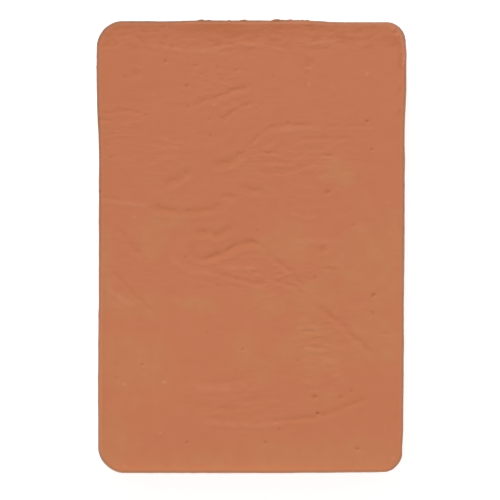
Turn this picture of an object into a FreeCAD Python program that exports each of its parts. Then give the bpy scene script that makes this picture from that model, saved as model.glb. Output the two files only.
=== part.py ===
import FreeCAD, Part
import os

# A detailing clay bar: one pressed slab of clay, lying flat on its back.
# Millimetres. The length runs along Y, the width along X, and Z is up from the base.
LENGTH = 110.0
WIDTH = 75.4  # across the head (+Y) end, before its corners are rounded
THICKNESS = 15.0

# The outline of the base. The slab was pressed soft, so no two of its corners are quite alike.
HEAD_CROWN = 0.4  # how far the head end swells out between its corners
LEFT_WAIST = 0.35  # how far the left side (-X) draws in at its middle
LEFT_LEAN = 0.4  # how far in the left side stands at the foot end
RIGHT_LEAN = 0.9  # how far in the right side stands at the foot end
HEAD_LEFT_RADIUS = 6.0
HEAD_RIGHT_RADIUS = 5.2
FOOT_LEFT_RADIUS = 6.0
FOOT_RIGHT_RADIUS = 4.6

# The section of the slab. Its sides taper upwards, and both of its rims are softened.
DRAFT_INSET = 0.35  # how far in the top outline stands from the base outline, all round
TOP_RIM_RADIUS = 0.8
BASE_RIM_RADIUS = 0.7

STEP_FOLDER = "parts"
FLATNESS = 0.01  # an edge that rises less than this lies flat


def outline(inset, height):
    """The slab's sharp-cornered outline, this far inside that of the base and at this height."""
    left = -WIDTH / 2 + inset
    right = WIDTH / 2 - inset
    head = LENGTH / 2 - inset
    foot = -LENGTH / 2 + inset

    def point(x, y):
        return FreeCAD.Vector(x, y, height)

    foot_left = point(left + LEFT_LEAN, foot)
    foot_right = point(right - RIGHT_LEAN, foot)
    head_right = point(right, head - HEAD_CROWN)
    head_middle = point(0, head)
    head_left = point(left, head - HEAD_CROWN)
    left_middle = point(left + LEFT_LEAN / 2 + LEFT_WAIST, 0)
    sides = [
        Part.LineSegment(foot_left, foot_right),
        Part.LineSegment(foot_right, head_right),
        Part.Arc(head_right, head_middle, head_left),
        Part.Arc(head_left, left_middle, foot_left),
    ]
    return Part.Wire([side.toShape() for side in sides])


def corner_edges(slab, side, end):
    """The upright edges at one corner. side is -1 for left, and end is -1 for foot."""
    found = []
    for edge in slab.Edges:
        middle = edge.CenterOfMass
        climbs = edge.BoundBox.ZLength > THICKNESS / 2
        if climbs and middle.x * side > 0 and middle.y * end > 0:
            found.append(edge)
    return found


def rim_edges(slab, height):
    """The edges that lie flat at this height."""
    found = []
    for edge in slab.Edges:
        box = edge.BoundBox
        if box.ZLength < FLATNESS and abs(box.Center.z - height) < FLATNESS:
            found.append(edge)
    return found


def clay_bar():
    """The tapered slab, with its four corners rounded first and then its two rims."""
    slab = Part.makeLoft([outline(0, 0), outline(DRAFT_INSET, THICKNESS)], True, True)
    slab = slab.makeFillet(HEAD_LEFT_RADIUS, corner_edges(slab, -1, 1))
    slab = slab.makeFillet(HEAD_RIGHT_RADIUS, corner_edges(slab, 1, 1))
    slab = slab.makeFillet(FOOT_LEFT_RADIUS, corner_edges(slab, -1, -1))
    slab = slab.makeFillet(FOOT_RIGHT_RADIUS, corner_edges(slab, 1, -1))
    slab = slab.makeFillet(TOP_RIM_RADIUS, rim_edges(slab, THICKNESS))
    return slab.makeFillet(BASE_RIM_RADIUS, rim_edges(slab, 0))


def centred(slab):
    """The slab moved so that the middle of its base is at the origin."""
    box = slab.optimalBoundingBox(False, False)
    slab.translate(FreeCAD.Vector(-box.Center.x, -box.Center.y, -box.ZMin))
    return slab


os.makedirs(STEP_FOLDER, exist_ok=True)
bar = centred(clay_bar())
bar.exportStep(os.path.join(STEP_FOLDER, "clay_bar.step"))

size = bar.optimalBoundingBox(False, False)
print("size mm", round(size.XLength, 2), round(size.YLength, 2), round(size.ZLength, 2))
print("valid", bar.isValid(), "volume cm3", round(bar.Volume / 1000, 2))
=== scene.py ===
import bpy
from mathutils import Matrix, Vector


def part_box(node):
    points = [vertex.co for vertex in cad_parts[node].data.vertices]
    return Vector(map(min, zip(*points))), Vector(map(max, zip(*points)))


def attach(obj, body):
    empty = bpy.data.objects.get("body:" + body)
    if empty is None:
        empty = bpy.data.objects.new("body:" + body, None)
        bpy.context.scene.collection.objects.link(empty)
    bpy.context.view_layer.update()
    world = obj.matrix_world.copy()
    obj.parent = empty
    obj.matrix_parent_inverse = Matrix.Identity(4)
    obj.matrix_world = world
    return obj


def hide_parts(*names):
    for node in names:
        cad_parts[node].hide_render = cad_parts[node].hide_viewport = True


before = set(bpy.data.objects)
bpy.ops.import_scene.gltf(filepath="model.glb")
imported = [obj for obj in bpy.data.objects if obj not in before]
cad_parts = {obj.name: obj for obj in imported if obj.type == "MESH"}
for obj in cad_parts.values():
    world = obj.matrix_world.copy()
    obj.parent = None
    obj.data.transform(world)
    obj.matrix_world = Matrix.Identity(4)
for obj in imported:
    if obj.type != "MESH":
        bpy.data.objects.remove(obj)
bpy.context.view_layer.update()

MM = 0.001
TINY = 0.0001  # keeps a length that is divided by, or raised to a power, off 0

# ---------------------------------------------------------------- the bar's sizes
# The relief of the bar is worked out in millimetres, and turned into metres at the end.

BAR_LOW, BAR_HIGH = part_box("clay_bar")
WIDTH = (BAR_HIGH.x - BAR_LOW.x) / MM
LENGTH = (BAR_HIGH.y - BAR_LOW.y) / MM
THICKNESS = (BAR_HIGH.z - BAR_LOW.z) / MM

SLAB = {
    "Width": WIDTH,
    "Length": LENGTH,
    "Thickness": THICKNESS - 0.15,  # the lip round the top face makes up the rest
    "Draft": 0.35,  # how far in the top stands from the base, all round
    "Top rim radius": 0.75,
    "Base rim radius": 0.7,
    "Head left radius": 6.5,
    "Head right radius": 4.9,
    "Foot left radius": 6.0,
    "Foot right radius": 4.4,
    "Head left roundness": 2.0,  # 2 is a round corner, and less is a flatter one
    "Head right roundness": 2.05,
    "Foot left roundness": 1.8,
    "Foot right roundness": 1.8,
    "Lip height": 0.38,
    "Lip reach": 1.4,
    "Dish": 0.25,
    "Crease depth": 0.52,  # times the depth of each mark
    "Crease width": 1.95,  # times its width
    "Seed": 7.0,  # of the long swells
}
MESH_STEP = 0.25  # spacing of the mesh that the relief is worked out on
TRIANGLES = 190_000  # what the finished bar is thinned to

# How far each edge of the outline stands inside the bar's box, as (share of the way, mm).
# The sides go from foot to head, and the ends from left to right.
LEFT_EDGE = [
    (0, 0.54), (0.3, 0.48), (0.38, 0.6), (0.7, 0.63),
    (0.78, 0.36), (0.84, 0.12), (1, 0.14),
]
RIGHT_EDGE = [
    (0, 0.9), (0.035, 1.0), (0.1, 0.76), (0.4, 0.56), (0.6, 0.4),
    (0.76, 0.36), (0.87, 0), (0.93, 0), (0.965, 0.22), (1, 0),
]
HEAD_EDGE = [
    (0, 0.36), (0.26, 0.36), (0.34, 0.26), (0.5, 0.22),
    (0.7, 0.28), (0.78, 0.6), (1, 0.62),
]
FOOT_EDGE = [(0, 0.05), (0.6, 0), (0.85, 0.15), (1, 0.3)]

# How far the clay rises and falls in each kind of unevenness. A noise goes about half as
# far each way.
SWELL_HEIGHT = 0.4  # long, soft swells over the whole bar
RIPPLE_HEIGHT = 0.14  # shorter ones
STROKE_HEIGHT = 0.26  # the wider wrinkles from the wrapper
FINE_STROKE_HEIGHT = 0.3  # the finest ones
DRAG_DEPTH = 0.045  # where the wrapper dragged the clay at the head end
SIDE_SWELL_HEIGHT = 0.55
SIDE_STREAK_DEPTH = 0.12
LUMP_HEIGHT = 2.8  # lumps on the head end, for each whole unit of their noise
ECHO_SHARE = 0.09  # fine wrinkles beside a crease, as a share of its depth

# How creases and pits stray from their plain shapes.
CREASE_STEP = 0.3  # spacing of the points along a crease
CREASE_FADE = 2.2  # length over which it dies away at each end
CREASE_DRIFT = 1.5  # reach of its wandering
PIT_DRIFT = 1.3  # reach of the noise that takes a pit out of round

# ---------------------------------------------------------------- marks in the clay
# What the wrapper pressed into the top face. Each mark has a depth and a width, which the
# slab's crease depth and crease width multiply, and the points (x, y) of its way. The bank
# on the left of the way is the steep one, and the clay stands up beyond the bank on the
# right. A negative depth is a raised line.

TOP_MARKS = [
    (0.20, 0.5, [(-14.5, 34), (-12, 35), (-7, 36.5), (0.5, 39)]),
    (0.16, 0.45, [(-7.5, 30.5), (-3.5, 33), (1, 35)]),
    (0.27, 0.7, [(-9.8, 19.7), (-5.9, 20.2), (-3.4, 21.6), (-0.8, 24)]),
    (0.15, 0.4, [(-2.4, 22.6), (1, 26), (5, 28.7), (10.5, 29.3), (16, 29)]),
    (-0.10, 0.4, [(6, 27.9), (11, 28.4), (18, 28.1)]),
    (0.10, 0.35, [(17, 28.8), (23.5, 29), (30, 29)]),
    (0.26, 0.75, [(-21.5, 15), (-18.5, 16), (-14.3, 19)]),
    (0.22, 0.6, [(-25, 9.3), (-16, 8.4), (-9.5, 9), (-6, 10.8)]),
    (0.20, 0.5, [(-8.5, 11.6), (-5.5, 12), (-2.5, 11)]),
    (-0.10, 0.4, [(-37, 11), (-30, 10.2), (-24, 9.6)]),
    (0.12, 0.35, [(-37, 11.9), (-34, 11.6), (-31, 11)]),
    (0.2, 0.6, [(-4, 14.4), (0, 13.6), (4, 13.5)]),
    (0.25, 0.65, [(-14.5, 2.8), (-10, 3.5), (-8, 2.8), (-3.5, 5.2)]),
    (0.26, 0.6, [(-15.4, 1.4), (-13.6, -2.2), (-10.6, -3), (-6.5, -1.4), (-2, 0.8), (3, 0.5)]),
    (0.18, 0.45, [(-8.5, -6.9), (-3.5, -7.8), (4, -9.5)]),
    (-0.09, 0.35, [(-7.5, -5.4), (3, -5.4)]),
    (0.14, 0.45, [(1.9, 1.2), (5, -2.5), (9.2, -6), (14, -10.6)]),
    (0.13, 0.4, [(3.5, -7.8), (9, -9.2), (13.5, -12)]),
    (0.25, 0.55, [(16, -14.2), (21.5, -18.5), (25.5, -22.5), (29.8, -26.6)]),
    (0.18, 0.5, [(4, -42), (14, -41.4), (20, -39.8), (28.5, -36.6)]),
    (-0.09, 0.45, [(-12, -42.6), (-2, -43.2), (9, -43)]),
    (0.10, 0.8, [(-15, -38.6), (-5.5, -38.9), (2, -37)]),
    (-0.09, 0.6, [(-14.5, -34), (-7, -34.6), (0, -33.4)]),
    (0.12, 0.4, [(9.5, 24.5), (13.5, 26), (24, 26)]),
    (0.14, 0.35, [(16.5, 22.3), (20.5, 21.8)]),
    (0.14, 0.35, [(-37.2, 32), (-31, 32.6), (-25.5, 32)]),
    (0.12, 0.35, [(-37.2, 30.5), (-31.5, 29.8)]),
    (0.10, 0.35, [(-37, 28.6), (-33, 28.2)]),
    (-0.11, 0.35, [(-24.8, 22.8), (-23.6, 23.8), (-21.8, 24.2)]),
    (-0.11, 0.4, [(-22.9, 25.4), (-21, 25.9), (-18.8, 25)]),
    (-0.10, 0.35, [(-19.9, 23.7), (-18.4, 23.4), (-16.8, 22.4)]),
    (0.12, 0.5, [(-33.5, 6), (-30, 1.5), (-24, -5)]),
    (0.12, 0.45, [(-35.5, -4), (-31, -8.5), (-27.5, -12.5), (-22.5, -17)]),
    (-0.10, 0.5, [(-36, -9), (-32, -12.5), (-28, -15)]),
    (-0.10, 0.5, [(-20.5, -1.5), (-15.5, -5.8), (-9, -6.2)]),
    (-0.08, 0.4, [(9.5, 1), (21, 1)]),
    (0.10, 0.35, [(15, -5.2), (22, -5.6)]),
    (0.14, 0.35, [(30, -20.8), (34.5, -21.2)]),
    (-0.14, 0.35, [(16.3, -28.6), (18.5, -27.5), (20.7, -28.5)]),
    (0.14, 0.35, [(16.8, -29.7), (19, -29.2), (20.8, -29.9)]),
    (-0.12, 0.3, [(19.4, -31.8), (20.9, -30.8), (21.2, -29.4)]),
    (-0.12, 0.35, [(12.5, -32.6), (15, -33.4), (17.2, -32.7)]),
    (-0.12, 0.35, [(10.5, -20.2), (14.5, -19.7), (18, -20.4)]),
    (0.13, 0.35, [(13.2, -22.8), (16, -22.2), (18.8, -22.5)]),
    (-0.10, 0.35, [(-26, 48.4), (-14, 47), (-8.5, 47.5), (-3.5, 48.5), (3.5, 48.5), (8, 47)]),
    (-0.10, 0.5, [(9.5, 49.5), (24, 48.5)]),
    (0.26, 0.32, [(34.6, 51.2), (35.9, 47), (36.2, 41)]),
    (-0.45, 0.25, [(34.8, 52.8), (36.3, 51), (36.9, 48), (36.9, 42)]),
    (0.24, 0.32, [(36.1, 39.5), (36, 35.5)]),
    (0.22, 0.32, [(35.9, 34.5), (35.8, 29.5)]),
    (0.12, 0.35, [(1, 22.8), (9.5, 22)]),
    (0.12, 0.35, [(2.5, 20.6), (11, 20)]),
    (0.12, 0.35, [(0.5, 18.2), (9, 17.4)]),
    (-0.12, 0.35, [(8, 8.6), (12.5, 7), (17, 6.8)]),
]

# Nicks and folds in the sides, with points (x, y, z). The first three run down from the
# top rim.
SIDE_MARKS = [
    (0.9, 0.4, [(-35.6, 30.6, 15), (-37.2, 30.3, 14.4), (-37.6, 30, 10)]),
    (0.5, 0.35, [(-36, 22.4, 15), (-37.2, 22.2, 14.4), (-37.6, 22.6, 12)]),
    (0.8, 0.35, [(-36, 13.2, 15), (-37.2, 13, 14.4), (-37.6, 12.6, 8)]),
    (0.3, 0.6, [(-37.6, 4, 9.5), (-37.6, -6, 7.4), (-37.6, -19, 8.2)]),
    (0.25, 0.5, [(-37.6, -24, 4.6), (-37.6, -33, 5.6), (-37.6, -40, 9)]),
    (0.3, 0.5, [(37.6, -34, 11.8), (37.6, -24, 9.6), (37.6, -10, 8.6)]),
    (0.25, 0.5, [(37.6, 2, 4.4), (37.6, 13, 5.4), (37.6, 23, 9.2)]),
    (0.3, 0.45, [(37.4, 34, 12.6), (37.6, 37, 8.4), (37.6, 38.4, 3.6)]),
    (0.3, 0.5, [(-20, 55, 10.2), (-8, 55, 8.2), (7, 55, 9)]),
    (0.35, 0.45, [(19, 55, 13.4), (21.5, 55, 8.6), (22.4, 55, 3.4)]),
    (0.3, 0.5, [(-24, -55, 6), (-12, -55, 7.8), (-3, -55, 7)]),
    (0.25, 0.45, [(9, -55, 11), (17, -55, 9.4), (26, -55, 9.8)]),
    (0.3, 0.45, [(-34.6, 53.4, 13.8), (-35.6, 52.4, 9), (-36.4, 51.2, 4)]),
    (0.3, 0.45, [(34.9, -53.6, 13.6), (35.4, -53, 8), (36, -52.2, 3)]),
]

# Pinholes and small dents, as (x, y, radius, depth). A negative depth is a raised speck.
TOP_PITS = [
    (16, -40.5, 0.6, 0.36),
    (15.5, -36.5, 1.0, 0.22),
    (21.5, -36.5, 0.6, 0.15),
    (24, -35, 0.5, 0.15),
    (25.5, -49, 0.7, 0.2),
    (3.5, -47.5, 0.6, 0.15),
    (-15.5, -47.5, 0.6, 0.15),
    (29.5, -12, 0.8, 0.25),
    (28, 30, 0.7, 0.25),
    (29, 23.5, 0.6, 0.2),
    (18.5, 13, 1.1, 0.2),
    (17.5, -0.8, 1.4, 0.14),
    (-2, -25, 0.6, 0.2),
    (14, 44, 1.9, 0.16),
    (13.5, 41.8, 1.2, 0.1),
    (-27.5, 41.5, 1.6, 0.12),
    (-30.5, 40.8, 0.9, 0.1),
    (-20.6, 44.6, 0.7, 0.14),
    (-13.4, 43.6, 0.6, 0.13),
    (-28.6, 37.2, 0.6, 0.12),
    (-7.8, 43.1, 0.6, 0.13),
    (-3.7, 42.5, 0.6, 0.14),
    (-12, 41.3, 0.6, 0.12),
    (-15.4, 38.6, 0.7, 0.15),
    (-15.4, 33.6, 0.7, 0.14),
    (-6.3, 44.5, 0.5, 0.12),
    (-7, 40.3, 0.5, 0.1),
    (-7, 31, 0.6, 0.12),
    (-19, -11, 2.6, 0.08),
    (-21, -33, 0.6, -0.12),
    (14, 39, 0.8, -0.08),
    (28, 41.5, 0.8, -0.1),
    (34.2, 52.4, 0.9, -0.1),
    (35.3, 51.2, 0.6, -0.08),
    (-30.5, -53.3, 1.1, -0.06),
    (34.3, -51.2, 0.8, -0.08),
]

# Soft patches, as (x, y, half width, half length, strength): where the wrapper was finely
# wrinkled, where the clay has paled, where it is painted darker, and where most air was trapped.
WRINKLED = [
    (12, 21, 13, 9, 0.8),
    (1.5, -7, 14, 5, 1.0),
    (15, -24, 8, 9, 0.75),
    (-4, -37, 12, 6, 0.7),
    (1, 49.5, 30, 3.5, 0.9),
    (-7, 35.5, 10, 6, 0.9),
    (-31, 27, 7, 7, 0.9),
    (-22, 23, 8, 7, 0.6),
    (-29, -6, 8, 12, 0.3),
]
PALED = [
    (30, -5, 11, 12, 1.0),
    (30, -22, 9, 9, 0.8),
    (-27, -28, 11, 10, 0.75),
    (-28, -15, 11, 3.5, 0.8),
    (-14, -14.5, 8, 3, 0.6),
    (4, -14, 7, 4, 0.8),
    (15, -12, 8, 5, 0.8),
    (3, -30, 5, 4, 0.7),
    (14, -24, 8, 8, 0.9),
    (-2, -24, 4, 5, 0.8),
    (-25, 2, 5, 5, 0.7),
    (8, 1, 6, 6, 0.8),
    (21, 17, 4, 4, 0.8),
    (-36, -8, 3, 12, 0.9),
    (18, -51, 24, 5, 0.8),
    (-33, -48, 6, 9, 0.8),
    (-12, -52, 16, 3, 0.6),
    (18, -37, 6, 4, 0.7),
    (-22, 6, 7, 3, 0.7),
]
DARKER_PATCHES = [(-32, 36, 14, 16, 0.1)]
AIRY = [(-24, 38, 20, 14, 1.0)]

# ---------------------------------------------------------------- the clay's colours

CLAY = (0.485, 0.164, 0.077, 1)
PALE_CLAY = (0.477, 0.185, 0.082, 1)
MOTTLED_CLAY = (0.477, 0.154, 0.069, 1)
CLAY_SPECK = (0.53, 0.21, 0.11, 1)
FOOT_AND_LIT_LIP_CLAY = (0.57, 0.182, 0.066, 1)  # lighter and more orange towards the foot end, and the painted highlight on the foot end's lip
SHADED_CLAY = (0.40, 0.110, 0.034, 1)  # painted shade in creases and pits, along the rim and over the head end
# Painted highlight on raised lines and raised specks.
LIT_CREST_CLAY = (0.62, 0.28, 0.17, 1)
LIT_RIM_CLAY = (0.49, 0.215, 0.115, 1)  # painted highlight on the crest of the rim's lip
# Painted shade on the walls, darkest at the head end.
SHADED_WALL_CLAY = (0.275, 0.102, 0.052, 1)
SHADED_HEAD_WALL_CLAY = (0.22, 0.082, 0.042, 1)
FOOT_WALL_CLAY = (0.60, 0.30, 0.18, 1)


# ---------------------------------------------------------------- node arithmetic


class Flow:
    """One output of a node. Arithmetic on it adds the Math or Vector Math nodes that do it."""

    def __init__(self, tree, socket):
        self.tree = tree
        self.socket = socket

    def is_vector(self):
        return self.socket.type in ("VECTOR", "RGBA")

    def maths(self, operation, *others):
        kind = "ShaderNodeVectorMath" if self.is_vector() else "ShaderNodeMath"
        values = dict(enumerate((self, *others)))
        return self.tree.add(kind, {"operation": operation}, values)

    def reflected(self, operation, other):
        return self.tree.add("ShaderNodeMath", {"operation": operation}, {0: other, 1: self})

    def __add__(self, other):
        return self.maths("ADD", other)

    def __radd__(self, other):
        return self.maths("ADD", other)

    def __sub__(self, other):
        return self.maths("SUBTRACT", other)

    def __rsub__(self, other):
        return self.reflected("SUBTRACT", other)

    def __mul__(self, other):
        whole = not self.is_vector() or (isinstance(other, Flow) and other.is_vector())
        if whole:
            return self.maths("MULTIPLY", other)
        scaled = {"Vector": self, "Scale": other}
        return self.tree.add("ShaderNodeVectorMath", {"operation": "SCALE"}, scaled)

    def __rmul__(self, other):
        return self * other

    def __truediv__(self, other):
        return self.maths("DIVIDE", other)

    def __rtruediv__(self, other):
        return self.reflected("DIVIDE", other)

    def __pow__(self, other):
        return self.maths("POWER", other)

    def __neg__(self):
        return self * -1.0

    def __abs__(self):
        return self.maths("ABSOLUTE")

    def sign(self):
        return self.maths("SIGN")

    def dot(self, other):
        return self.maths("DOT_PRODUCT", other)

    def length(self):
        return self.maths("LENGTH")

    def above(self, other):
        """1 where this is the larger, and 0 elsewhere."""
        return self.maths("GREATER_THAN", other)

    def least(self, other):
        return self.maths("MINIMUM", other)

    def most(self, other):
        return self.maths("MAXIMUM", other)

    def exp(self):
        return self.maths("EXPONENT")

    def ease(self, low, high):
        """0 below low, 1 above high, and a smooth step between them. low may be the larger."""
        ends = {"Value": self, "From Min": low, "From Max": high}
        return self.tree.add("ShaderNodeMapRange", {"interpolation_type": "SMOOTHSTEP"}, ends)

    def pick(self, nought, one):
        """nought where this is 0, one where it is 1, and a mix between."""
        return self.tree.add("ShaderNodeMix", {}, {"Factor": self, "A": nought, "B": one})

    def tint(self, nought, one):
        """As pick, for two colours."""
        ends = {"Factor": self, "A": nought, "B": one}
        return self.tree.add("ShaderNodeMix", {"data_type": "RGBA"}, ends, "Result")

    def split(self):
        """The three values of a vector."""
        made = self.tree.add("ShaderNodeSeparateXYZ", {}, {"Vector": self}).socket.node
        return [Flow(self.tree, socket) for socket in made.outputs]


class Tree:
    """A node tree being written."""

    def __init__(self, nodes_and_links):
        self.tree = nodes_and_links

    def add(self, kind, settings, sockets, output=0):
        """A new node with these settings, then these values or links on its inputs."""
        node = self.tree.nodes.new(kind)
        for name, value in settings.items():
            setattr(node, name, value)
        for name, value in sockets.items():
            self.feed(self.find(node.inputs, name), value)
        return Flow(self, self.find(node.outputs, output))

    def find(self, sockets, name):
        """A socket by its number, or the one of this name that is in use."""
        if isinstance(name, int):
            return [socket for socket in sockets if socket.enabled][name]
        return next(socket for socket in sockets if socket.enabled and socket.name == name)

    def feed(self, socket, value):
        if isinstance(value, Flow):
            self.tree.links.new(value.socket, socket)
        else:
            socket.default_value = value

    def vector(self, x, y, z):
        return self.add("ShaderNodeCombineXYZ", {}, {"X": x, "Y": y, "Z": z})

    def noise(self, place, scale, detail=2.0, roughness=0.5, seed=0.0):
        """Noise from 0 to 1 about 0.5. scale is in waves to a millimetre."""
        sockets = {"Vector": place, "W": seed, "Scale": scale}
        sockets |= {"Detail": detail, "Roughness": roughness}
        return self.add("ShaderNodeTexNoise", {"noise_dimensions": "4D"}, sockets)

    def random(self, seed):
        """A random number from 0 to 1 for each point."""
        sockets = {"Min": 0.0, "Max": 1.0, "Seed": seed}
        return self.add("FunctionNodeRandomValue", {"data_type": "FLOAT"}, sockets)

    def patches(self, place, patches):
        """The strength of a soft patch in its middle, falling away to 0 outside them all."""
        x, y = place.split()[:2]
        most = 0.0
        for middle_x, middle_y, half_width, half_length, strength in patches:
            off = ((x - middle_x) / half_width) ** 2.0 + ((y - middle_y) / half_length) ** 2.0
            most = ((-off).exp() * strength).most(most)
        return most

    def along(self, share, points):
        """A smooth curve through (share, height) points, read at a share of the way."""
        made = self.add("ShaderNodeFloatCurve", {}, {"Value": share})
        curve = made.socket.node.mapping.curves[0]
        curve.points[0].location = points[0]
        curve.points[1].location = points[-1]
        for point in points[1:-1]:
            curve.points.new(*point)
        made.socket.node.mapping.update()
        return made


# ---------------------------------------------------------------- the shape of the bar


def strayed(tree, place, reach, scale, detail=2.0, roughness=0.5):
    """The place shifted by a noise, by up to half the reach each way."""
    sockets = {"Vector": place, "Scale": scale, "Detail": detail, "Roughness": roughness}
    drift = tree.add("ShaderNodeTexNoise", {}, sockets, "Color")
    return place + (drift - (0.5, 0.5, 0.5)) * reach


def across_the_bar(tree, place):
    """Where to read a noise so that it is drawn out across the bar, in slightly bent strokes."""
    return strayed(tree, place, 5.0, 0.09, 1.0) * tree.vector(0.24, 1.0, 1.0)


def fine_strokes(tree, place):
    """The finest wrinkles, about 0 either way."""
    return tree.noise(across_the_bar(tree, place), 1.3, 2.0, 0.6, seed=14.0) - 0.5


def side_streaks(tree, place):
    """How far a place on the sides is into a streak that was dragged along them."""
    return tree.noise(place * tree.vector(0.3, 0.3, 1.0), 0.5, 3.0, seed=9.0).ease(0.42, 0.7)


def guide_mesh(name, points, edges, values):
    """A loose mesh of points, or of points and edges, that carries values for a node tree."""
    mesh = bpy.data.meshes.new(name)
    mesh.from_pydata(points, edges, [])
    for value_name, numbers in values.items():
        mesh.attributes.new(value_name, "FLOAT", "POINT").data.foreach_set("value", numbers)
    made = bpy.data.objects.new(name, mesh)
    bpy.context.scene.collection.objects.link(made)
    return made


def crease_lines(marks):
    """The marks as lines, each point with its mark's depth and width. A point with no z of its
    own is at the height of the top face."""
    points, edges, depths, widths = [], [], [], []
    for depth, width, way in marks:
        start = len(points)
        points += [(*point, THICKNESS)[:3] for point in way]
        edges += [(i, i + 1) for i in range(start, len(points) - 1)]
        depths += [depth] * len(way)
        widths += [width] * len(way)
    return guide_mesh("crease_lines", points, edges, {"depth": depths, "width": widths})


def pit_points(pits):
    """The pits as points just above the top face."""
    places = [(x, y, THICKNESS) for x, y, radius, depth in pits]
    radii = [radius for x, y, radius, depth in pits]
    depths = [depth for x, y, radius, depth in pits]
    return guide_mesh("pit_points", places, [], {"radius": radii, "depth": depths})


def rounded(across, up, radius):
    """Where a point of a square edge goes when the edge is rounded. across and up are its
    distances from the corner's centre lines. Points beyond the rounding stay."""
    inside = across.least(up).above(0.0)
    reach = (across * across + up * up) ** 0.5
    share = inside.pick(1.0, radius / reach.most(TINY))
    return across * share, up * share


def box_to_slab(tree, place, size):
    """Takes a point of a plain box to its place on the slab: rims and corners rounded, sides
    tapered, and the outline's own bends. Returns the place and the distance in from the edge."""
    x, y, z = place.split()
    half_width = size["Width"] * 0.5
    half_length = size["Length"] * 0.5
    right = x.above(0.0)
    head = y.above(0.0)
    radius = head.pick(
        right.pick(size["Foot left radius"], size["Foot right radius"]),
        right.pick(size["Head left radius"], size["Head right radius"]),
    )
    roundness = head.pick(
        right.pick(size["Foot left roundness"], size["Foot right roundness"]),
        right.pick(size["Head left roundness"], size["Head right roundness"]),
    )
    # How far the point is past the centre of its corner, each way.
    past_x = abs(x) - half_width + radius
    past_y = abs(y) - half_length + radius
    ring = past_x.most(past_y)
    inset = radius - ring

    # Both rims are rounded in the section of the bar.
    top_radius, base_radius = size["Top rim radius"], size["Base rim radius"]
    top_across, top_up = rounded(
        top_radius - inset, z - size["Thickness"] + top_radius, top_radius
    )
    base_across, base_up = rounded(base_radius - inset, base_radius - z, base_radius)
    upper = z.above(size["Thickness"] * 0.5)
    new_inset = upper.pick(base_radius - base_across, top_radius - top_across)
    new_z = upper.pick(base_radius - base_up, size["Thickness"] - top_radius + top_up)
    new_ring = radius - new_inset

    # The square corners of the plan are drawn in to rounded ones.
    in_corner = past_x.least(past_y).above(0.0)
    lead_x = past_x.above(past_y)
    growth = new_ring / in_corner.pick(1.0, ring)
    square_x = in_corner.pick(lead_x.pick(past_x, new_ring), past_x * growth)
    square_y = in_corner.pick(lead_x.pick(new_ring, past_y), past_y * growth)
    span = (square_x.most(TINY) ** roundness + square_y.most(TINY) ** roundness) ** (
        1.0 / roundness
    )
    swing = in_corner.pick(1.0, new_ring / span)
    plan_x = x.sign() * (square_x * swing + half_width - radius)
    plan_y = y.sign() * (square_y * swing + half_length - radius)

    taper = size["Draft"] * (new_z / size["Thickness"])
    plan_x = plan_x * (1.0 - taper / half_width)
    plan_y = plan_y * (1.0 - taper / half_length)

    # Each edge bends in most at the edge itself, and not at all at the bar's middle.
    share_x = plan_x / size["Width"] + 0.5
    share_y = plan_y / size["Length"] + 0.5
    to_right = (share_x * 2.0 - 1.0).most(0.0)
    to_left = (1.0 - share_x * 2.0).most(0.0)
    to_head = (share_y * 2.0 - 1.0).most(0.0)
    to_foot = (1.0 - share_y * 2.0).most(0.0)
    left_in = tree.along(share_y, LEFT_EDGE) * to_left
    right_in = tree.along(share_y, RIGHT_EDGE) * to_right
    head_in = tree.along(share_x, HEAD_EDGE) * to_head
    foot_in = tree.along(share_x, FOOT_EDGE) * to_foot
    final = tree.vector(plan_x + left_in - right_in, plan_y + foot_in - head_in, new_z)
    return final, new_inset


def store(tree, geometry, name, value, kind="FLOAT"):
    """The geometry with a value stored on its points."""
    sockets = {"Geometry": geometry, "Name": name, "Value": value}
    return tree.add("GeometryNodeStoreNamedAttribute", {"data_type": kind}, sockets)


def sample(tree, geometry, value_name, index, kind="FLOAT"):
    """A stored value of one point of another geometry."""
    settings = {"data_type": kind}
    stored = tree.add("GeometryNodeInputNamedAttribute", settings, {"Name": value_name})
    sockets = {"Geometry": geometry, "Value": stored, "Index": index}
    return tree.add("GeometryNodeSampleIndex", settings, sockets)


def moved_to(tree, geometry, place):
    """The geometry with its points at these places."""
    return tree.add("GeometryNodeSetPosition", {}, {"Geometry": geometry, "Position": place})


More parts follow.
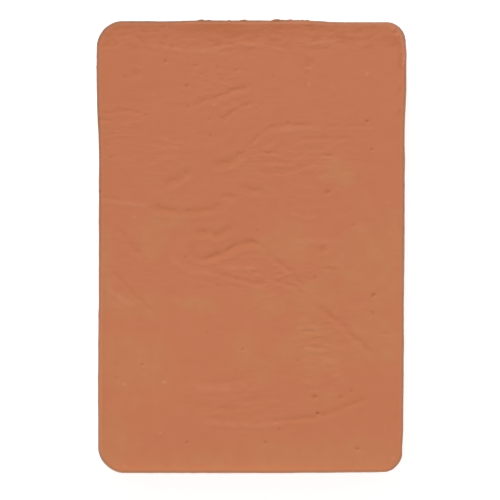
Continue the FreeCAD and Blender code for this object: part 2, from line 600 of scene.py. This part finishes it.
def crease_relief(tree, slab, inputs, place, normal):
    """Height of the creases at a place, and how much painted shade a crease gives there: below 0
    on a raised line, where it is painted highlight instead. A crease is a groove with a steep bank
    on its left and an easy one on its right, and fine wrinkles follow it at a distance."""
    curve = tree.add("GeometryNodeMeshToCurve", {}, {"Mesh": inputs["Creases"]})
    smooth = {"spline_type": "CATMULL_ROM"}
    curve = tree.add("GeometryNodeCurveSplineType", smooth, {"Curve": curve})
    resampled = {"Curve": curve, "Length": CREASE_STEP}
    curve = tree.add("GeometryNodeResampleCurve", {"mode": "LENGTH"}, resampled)
    factor = tree.add("GeometryNodeSplineParameter", {}, {}, "Factor")
    length = tree.add("GeometryNodeSplineLength", {}, {}, "Length")
    fade = (factor.least(1.0 - factor) * length).ease(0.0, CREASE_FADE)
    curve = store(tree, curve, "fade", fade)
    tangent = tree.add("GeometryNodeInputTangent", {}, {})
    curve = store(tree, curve, "run", tangent, "FLOAT_VECTOR")
    lines = tree.add("GeometryNodeCurveToMesh", {}, {"Curve": curve})
    on_slab = tree.add("GeometryNodeProximity", {"target_element": "FACES"}, {"Geometry": slab})
    lines = moved_to(tree, lines, on_slab)

    shaken = strayed(tree, place, CREASE_DRIFT, 0.45, 4.0, 0.75)
    nearest = {"Geometry": lines, "Sample Position": shaken}
    edges = {"target_element": "EDGES"}
    on_line = tree.add("GeometryNodeProximity", edges, nearest, "Position")
    index = tree.add("GeometryNodeSampleNearest", {"domain": "POINT"}, nearest)
    fade = sample(tree, lines, "fade", index)
    depth = sample(tree, lines, "depth", index) * fade * inputs["Crease depth"]
    width = sample(tree, lines, "width", index) * inputs["Crease width"]
    run = sample(tree, lines, "run", index, "FLOAT_VECTOR")
    on_left = run.maths("CROSS_PRODUCT", shaken - on_line).dot(normal).above(0.0)
    distance = (shaken - on_line).length()
    across = distance / (width * on_left.pick(0.85, 0.72))

    # A crease is deeper in some places than in others, and its edges are ragged.
    uneven = tree.noise(place, 0.42, seed=3.0).ease(0.3, 0.66) * 0.85 + 0.35
    ragged = tree.noise(place, 1.4, 1.0, seed=6.0) * 0.9 + 0.55
    groove = (across * across * -1.4).exp() * uneven * ragged
    # Clay was pushed up beside it, and fine wrinkles follow it.
    swelling = (-(((across - 1.7) / 0.6) ** 2.0)).exp()
    echo = (distance * 4.6).maths("COSINE") * (distance / -1.7).exp() * uneven
    height = depth * (swelling * on_left.pick(0.36, 0.12) - groove)
    height = height - abs(depth) * echo * ECHO_SHARE
    shade = groove * (depth / 0.2).least(1.0).most(-1.0)
    return height, shade


def pit_relief(tree, points, place):
    """Height of the pits at a place, and how much painted shade a pit gives there: below 0 on a
    raised speck, where it is painted highlight instead.
    """
    nearest = {"Geometry": points, "Sample Position": place}
    index = tree.add("GeometryNodeSampleNearest", {"domain": "POINT"}, nearest)
    position = tree.add("GeometryNodeInputPosition", {}, {})
    sockets = {"Geometry": points, "Value": position, "Index": index}
    vectors = {"data_type": "FLOAT_VECTOR"}
    middle = tree.add("GeometryNodeSampleIndex", vectors, sockets)
    distance = (strayed(tree, place, PIT_DRIFT, 0.8) - middle).length()
    radius = sample(tree, points, "radius", index)
    depth = sample(tree, points, "depth", index)
    bowl = (distance / radius).ease(1.0, 0.15)
    steepness = depth / (radius * 0.25)  # a steep pit gets more painted shade
    return bowl * depth * -1.0, bowl * steepness.least(1.0).most(-1.0)


def random_pits(tree, slab, seed):
    """Pinholes strewn over the whole slab, where air was trapped under the wrapper."""
    position = tree.add("GeometryNodeInputPosition", {}, {})
    crowded = tree.patches(position, AIRY) * 0.7 + 0.3
    spread = {"Mesh": slab, "Distance Min": 1.2, "Density Max": 0.05, "Seed": seed}
    spread["Density Factor"] = crowded
    points = tree.add(
        "GeometryNodeDistributePointsOnFaces", {"distribute_method": "POISSON"}, spread
    )
    size = tree.random(seed) ** 2.5  # most are small
    raised = tree.random(seed + 1).above(0.72)  # and some are raised specks
    points = store(tree, points, "radius", size * 0.4 + 0.3)
    return store(tree, points, "depth", (size * 0.12 + 0.02) * raised.pick(1.0, -0.6))


def wrinkle_relief(tree, place, wrinkled):
    """Fine wrinkles from the wrapper, running across the bar."""
    strokes = tree.noise(across_the_bar(tree, place), 0.6, 2.0, seed=4.0) - 0.5
    fine = fine_strokes(tree, place) * FINE_STROKE_HEIGHT
    return (strokes * STROKE_HEIGHT + fine) * wrinkled


def side_relief(tree, inputs, place):
    """The sides: gently uneven, dragged along their length, and lumpy at the head end."""
    x, y, z = place.split()
    uneven = (tree.noise(place, 0.11, 4.0, 0.6, seed=8.0) - 0.5) * SIDE_SWELL_HEIGHT
    dragged = side_streaks(tree, place) * -SIDE_STREAK_DEPTH
    head = y.ease(inputs["Length"] * 0.49, inputs["Length"] * 0.495)
    head = head * abs(x - 1.0).ease(21.0, 13.0) * z.ease(7.0, 12.0)
    lumps = (tree.noise(place, 0.34, 2.0, seed=10.0) - 0.54).most(0.0) * head
    return uneven + dragged + lumps * LUMP_HEIGHT


def relief(tree, slab, inputs, place, normal):
    """The slab with everything that was pressed into it, and the values its clay reads."""
    inset = tree.add("GeometryNodeInputNamedAttribute", {"data_type": "FLOAT"}, {"Name": "inset"})
    facing = normal.split()[2]
    top = facing.ease(0.35, 0.85)
    base = facing.ease(-0.35, -0.85)
    side = 1.0 - top - base
    x, y = place.split()[:2]
    along = y / (inputs["Length"] * 0.5)
    across = x / (inputs["Width"] * 0.5)
    from_head = inputs["Length"] * 0.5 - y

    # The bar's own unevenness, its dished top and the lip round it.
    swell = (tree.noise(place, 0.035, 1.0, seed=inputs["Seed"]) - 0.5) * SWELL_HEIGHT
    ripple = (tree.noise(place, 0.16, 2.0, seed=1.0) - 0.5) * RIPPLE_HEIGHT
    dish = (along * along + across * across - 2.0) * inputs["Dish"]
    uneven_lip = tree.noise(place, 0.08, 2.0, seed=5.0) + 0.5
    lip = (-(inset / inputs["Lip reach"])).exp() * inputs["Lip height"] * uneven_lip
    dragged = tree.noise(place * tree.vector(0.4, 1.0, 1.0), 0.75, 3.0, 0.6, seed=12.0)
    drag = from_head.ease(8.5, 6.0) * dragged.ease(0.48, 0.64) * top

    # What the wrapper and trapped air left in it.
    creases, crease_shade = crease_relief(tree, slab, inputs, place, normal)
    pits, pit_shade = pit_relief(tree, inputs["Pits"], place)
    strewn = random_pits(tree, slab, seed=11)
    pinholes, pinhole_shade = pit_relief(tree, strewn, place)
    patchy = tree.noise(place, 0.14, 1.0, seed=2.0).ease(0.28, 0.5)
    wrinkled = (tree.patches(place, WRINKLED) * top + 0.15) * patchy
    wrinkles = wrinkle_relief(tree, place, wrinkled)
    blotch = tree.noise(place, 0.16, 5.0, 0.62, seed=1.0) - 0.5
    paled = (tree.patches(place, PALED) * (1.0 - base) + blotch * 1.8).ease(0.2, 0.75)

    on_top = swell + ripple + dish + lip + wrinkles - drag * DRAG_DEPTH
    on_base = -abs(swell * 0.3 + ripple) + wrinkles
    rise = on_top * top + on_base * base + side_relief(tree, inputs, place) * side
    rise = rise + creases + pits + pinholes
    rise = base.pick(rise, rise.least(0.0))  # the base stays on the table
    # crease and pit hold how much painted shade the clay gets there, and below 0 how much painted
    # highlight.
    slab = store(tree, slab, "crease", crease_shade)
    slab = store(tree, slab, "pit", pit_shade + pinhole_shade)
    slab = store(tree, slab, "drag", drag)
    slab = store(tree, slab, "wrinkled", wrinkled)
    slab = store(tree, slab, "paled", paled)
    return moved_to(tree, slab, place + normal * rise)


def slab_tree():
    """Geometry nodes that make the bar: a fine box, rounded into the slab and given its relief."""
    group = bpy.data.node_groups.new("pressed clay slab", "GeometryNodeTree")
    kinds = {name: "NodeSocketFloat" for name in (*SLAB, "Mesh step")}
    kinds |= {"Creases": "NodeSocketObject", "Pits": "NodeSocketObject"}
    kinds |= {"Clay": "NodeSocketMaterial"}
    for name, kind in kinds.items():
        group.interface.new_socket(name, in_out="INPUT", socket_type=kind)
    group.interface.new_socket("Bar", in_out="OUTPUT", socket_type="NodeSocketGeometry")
    tree = Tree(group)
    entry = group.nodes.new("NodeGroupInput")
    inputs = {name: Flow(tree, entry.outputs[name]) for name in kinds}
    for name in ("Creases", "Pits"):
        inputs[name] = tree.add("GeometryNodeObjectInfo", {}, {"Object": inputs[name]}, "Geometry")

    size = tree.vector(inputs["Width"], inputs["Length"], inputs["Thickness"])
    step = inputs["Mesh step"]
    counts = {"Size": size}
    for axis, length in zip("XYZ", ("Width", "Length", "Thickness")):
        counts[f"Vertices {axis}"] = inputs[length] / step + 1.0
    slab = tree.add("GeometryNodeMeshCube", {}, counts, "Mesh")
    position = tree.add("GeometryNodeInputPosition", {}, {})
    on_base = position + tree.vector(0.0, 0.0, inputs["Thickness"] * 0.5)
    place, inset = box_to_slab(tree, on_base, inputs)
    slab = store(tree, slab, "inset", inset)
    slab = moved_to(tree, slab, place)

    normal = tree.add("GeometryNodeInputNormal", {}, {})
    slab = relief(tree, slab, inputs, position, normal)
    slab = moved_to(tree, slab, position * MM)
    slab = tree.add("GeometryNodeSetShadeSmooth", {}, {"Geometry": slab})
    slab = tree.add("GeometryNodeRealizeInstances", {}, {"Geometry": slab})
    slab = tree.add(
        "GeometryNodeSetMaterial", {}, {"Geometry": slab, "Material": inputs["Clay"]}
    )
    leave = group.nodes.new("NodeGroupOutput")
    tree.feed(leave.inputs["Bar"], slab)
    return group


def made_plain(piece):
    """The piece's evaluated mesh in place of its own, with its modifiers taken off."""
    graph = bpy.context.evaluated_depsgraph_get()
    mesh = bpy.data.meshes.new_from_object(piece.evaluated_get(graph), depsgraph=graph)
    piece.modifiers.clear()
    piece.data = mesh


def clay_slab(clay):
    """The finished bar as one plain mesh."""
    group = slab_tree()
    marks = crease_lines(TOP_MARKS + SIDE_MARKS)
    pits = pit_points(TOP_PITS)
    bar = bpy.data.objects.new("clay_slab", bpy.data.meshes.new("clay_slab"))
    bpy.context.scene.collection.objects.link(bar)
    making = bar.modifiers.new("pressed slab", "NODES")
    making.node_group = group
    values = SLAB | {"Creases": marks, "Pits": pits, "Clay": clay}
    values["Mesh step"] = MESH_STEP
    for socket in group.interface.items_tree:
        if socket.in_out == "INPUT":
            making[socket.identifier] = values[socket.name]
    made_plain(bar)
    for used in (marks, pits):
        bpy.data.objects.remove(used)
    triangles = sum(len(face.vertices) - 2 for face in bar.data.polygons)
    if triangles > TRIANGLES:
        thinning = bar.modifiers.new("thinning", "DECIMATE")
        thinning.ratio = TRIANGLES / triangles
        made_plain(bar)
    return bar


# ---------------------------------------------------------------- finishes


def new_material(name):
    """A node material, its tree and its shader."""
    material = bpy.data.materials.new(name)
    material.use_nodes = True
    shader = next(n for n in material.node_tree.nodes if n.type == "BSDF_PRINCIPLED")
    return material, Tree(material.node_tree), shader


def terracotta_clay():
    """Matt, slightly waxy clay: painted shade in its creases and pits, along the rim, over the
    head end and on its sides; painted highlight on its raised lines, the crest of its lip and the
    lip at the foot end; and lighter and more orange towards the foot."""
    material, tree, shader = new_material("terracotta clay")
    coordinates = tree.add("ShaderNodeTexCoord", {}, {}, "Object")
    place = coordinates * (1 / MM)

    def stored(name):
        return tree.add("ShaderNodeAttribute", {"attribute_name": name}, {}, "Fac")

    crease, pit, inset, drag = (stored(name) for name in ("crease", "pit", "inset", "drag"))
    wrinkled, paled = stored("wrinkled"), stored("paled")
    x, y = place.split()[:2]
    from_head = LENGTH / 2 - y
    from_foot = LENGTH / 2 + y
    footward = from_head.ease(35.0, 90.0)
    mottle = tree.noise(place, 0.35, 3.0, seed=2.0).ease(0.25, 0.75)
    speck = tree.noise(place, 2.6, 2.0, seed=3.0).ease(0.62, 0.8)
    skin = tree.noise(place, 0.13, 4.0, 0.6, seed=7.0).ease(0.35, 0.65)
    streak = side_streaks(tree, place)

    # The painted shade of the walls comes over the rim, most of all at the sides of the head half.
    off_middle = abs(x + 2.0).ease(13.0, 20.0) * (1.0 - footward)
    wall = inset.ease(off_middle * 0.25 + 0.6, 0.1)
    rim = inset.ease(2.6, 0.5)
    # Painted highlight on the crest of the lip all round the rim.
    lit_rim_crest = inset.ease(1.1, 0.2) * (mottle * 0.3 + 0.45)
    head_blotches = tree.noise(place, 0.09, 2.0, seed=6.0).ease(0.3, 0.55)

    # Bands across the two ends. The one at the head end is painted shade on the inner slope of its
    # lip, blotchy, deepest in its middle, with a darker patch at the head left; the one at the
    # foot end is a painted highlight on the inner slope of its lip.
    head_middle = (-(((x + 4.0) / 15.0) ** 2.0)).exp()
    head_shade_band = from_head.ease(5.0, 2.8) * (0.1 + head_blotches * 0.22) * head_middle
    head_shade_band = head_shade_band + from_head.ease(10.0, 4.0) * (head_middle * 0.1 + 0.03)
    head_shade_band = head_shade_band + tree.patches(place, DARKER_PATCHES)
    # Painted highlight on the inner slope of the foot end's lip, which faces the lamp.
    lit_foot_lip_band = from_foot.ease(2.4, 1.3) * 0.35

    colour = paled.tint(CLAY, PALE_CLAY)
    colour = (mottle * 0.5).tint(colour, MOTTLED_CLAY)
    colour = (speck * 0.2).tint(colour, CLAY_SPECK)
    colour = (lit_foot_lip_band + footward * 0.12).tint(colour, FOOT_AND_LIT_LIP_CLAY)
    # Painted shade over the head end and a little along the rim; the dragged streaks by the head
    # end are darker too.
    colour = head_shade_band.most(rim * 0.05).most(drag * 0.38).tint(colour, SHADED_CLAY)
    # Painted shade in creases and pits.
    colour = (crease * 0.27).most(pit * 0.36).least(0.8).tint(colour, SHADED_CLAY)
    # Painted highlight on raised lines and raised specks.
    colour = (crease * -0.55).most(pit * -0.5).most(0.0).tint(colour, LIT_CREST_CLAY)
    colour = lit_rim_crest.tint(colour, LIT_RIM_CLAY)

    # The walls carry painted shade, browner than the top: most of all on the left and at the head
    # end, and a little more in the dragged streaks. The one at the foot end is paler instead.
    head_wall = from_head.ease(8.0, 2.0)
    wall_shade_colour = head_wall.tint(SHADED_WALL_CLAY, SHADED_HEAD_WALL_CLAY)
    wall_shade = x.ease(30.0, -30.0) * (0.45 - footward * 0.3) + 0.28
    wall_shade = from_foot.ease(1.0, 4.0) * wall_shade + skin * 0.08
    wall_shade = wall_shade + streak * 0.05 + head_wall * 0.3
    colour = (wall * wall_shade.least(0.95)).tint(colour, wall_shade_colour)
    colour = (wall * from_foot.ease(1.6, 0.6) * 0.4).tint(colour, FOOT_WALL_CLAY)
    tree.feed(shader.inputs["Base Color"], colour)

    grain = tree.noise(place, 5.0, 3.0, 0.6, seed=4.0)
    film = tree.noise(place, 1.1, 3.0, 0.55, seed=5.0)
    tree.feed(shader.inputs["Roughness"], 0.66 + mottle * 0.08 + crease * 0.1)
    height = grain * 0.35 + film + fine_strokes(tree, place) * wrinkled * 3.0
    bump = {"Strength": 0.35, "Distance": 0.03 * MM, "Height": height}
    tree.feed(shader.inputs["Normal"], tree.add("ShaderNodeBump", {}, bump))
    shader.inputs["Specular IOR Level"].default_value = 0.2
    return material


def table_white():
    """A pale table lit softly from within."""
    material, _, shader = new_material("white table")
    shader.inputs["Base Color"].default_value = (0.5, 0.5, 0.5, 1)
    shader.inputs["Roughness"].default_value = 0.8
    shader.inputs["Specular IOR Level"].default_value = 0.0
    shader.inputs["Emission Color"].default_value = (1, 1, 1, 1)
    shader.inputs["Emission Strength"].default_value = 0.75
    return material


# ---------------------------------------------------------------- studio


def table():
    """The floor that the bar lies on."""
    side = 4.0
    mesh = bpy.data.meshes.new("table")
    corners = [(-side, -side, 0), (side, -side, 0), (side, side, 0), (-side, side, 0)]
    mesh.from_pydata(corners, [], [(0, 1, 2, 3)])
    mesh.materials.append(table_white())
    made = bpy.data.objects.new("table", mesh)
    bpy.context.scene.collection.objects.link(made)


def light(name, place, size, power):
    """A square soft light at a place, turned to the bar."""
    lamp = bpy.data.lights.new(name, "AREA")
    lamp.size = size
    lamp.energy = power
    made = bpy.data.objects.new(name, lamp)
    made.location = place
    made.rotation_euler = (-Vector(place)).to_track_quat("-Z", "Y").to_euler()
    bpy.context.scene.collection.objects.link(made)


def studio():
    """Even light from all round, and a soft lamp beyond the head end."""
    scene = bpy.context.scene
    scene.world = bpy.data.worlds.new("soft light")
    scene.world.use_nodes = True
    sky = next(n for n in scene.world.node_tree.nodes if n.type == "BACKGROUND")
    sky.inputs["Color"].default_value = (1, 1, 1, 1)
    sky.inputs["Strength"].default_value = 0.62
    light("head lamp", place=(-0.4, 1.45, 1.35), size=0.9, power=30)
    scene.view_settings.view_transform = "Standard"


def camera():
    """Straight above the bar, far off with a long lens, so that its sides hardly show."""
    height = 3.6
    view_width = 121.15 * MM
    middle_x = -0.31 * MM
    middle_y = -0.89 * MM
    lens = bpy.data.cameras.new("camera")
    lens.sensor_width = 36
    lens.lens = lens.sensor_width * height / view_width
    lens.clip_end = 10
    made = bpy.data.objects.new("camera", lens)
    made.location = (middle_x, middle_y, height)
    bpy.context.scene.collection.objects.link(made)
    bpy.context.scene.camera = made


camera()
studio()
table()
bar = clay_slab(terracotta_clay())
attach(bar, "root")
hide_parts("clay_bar")
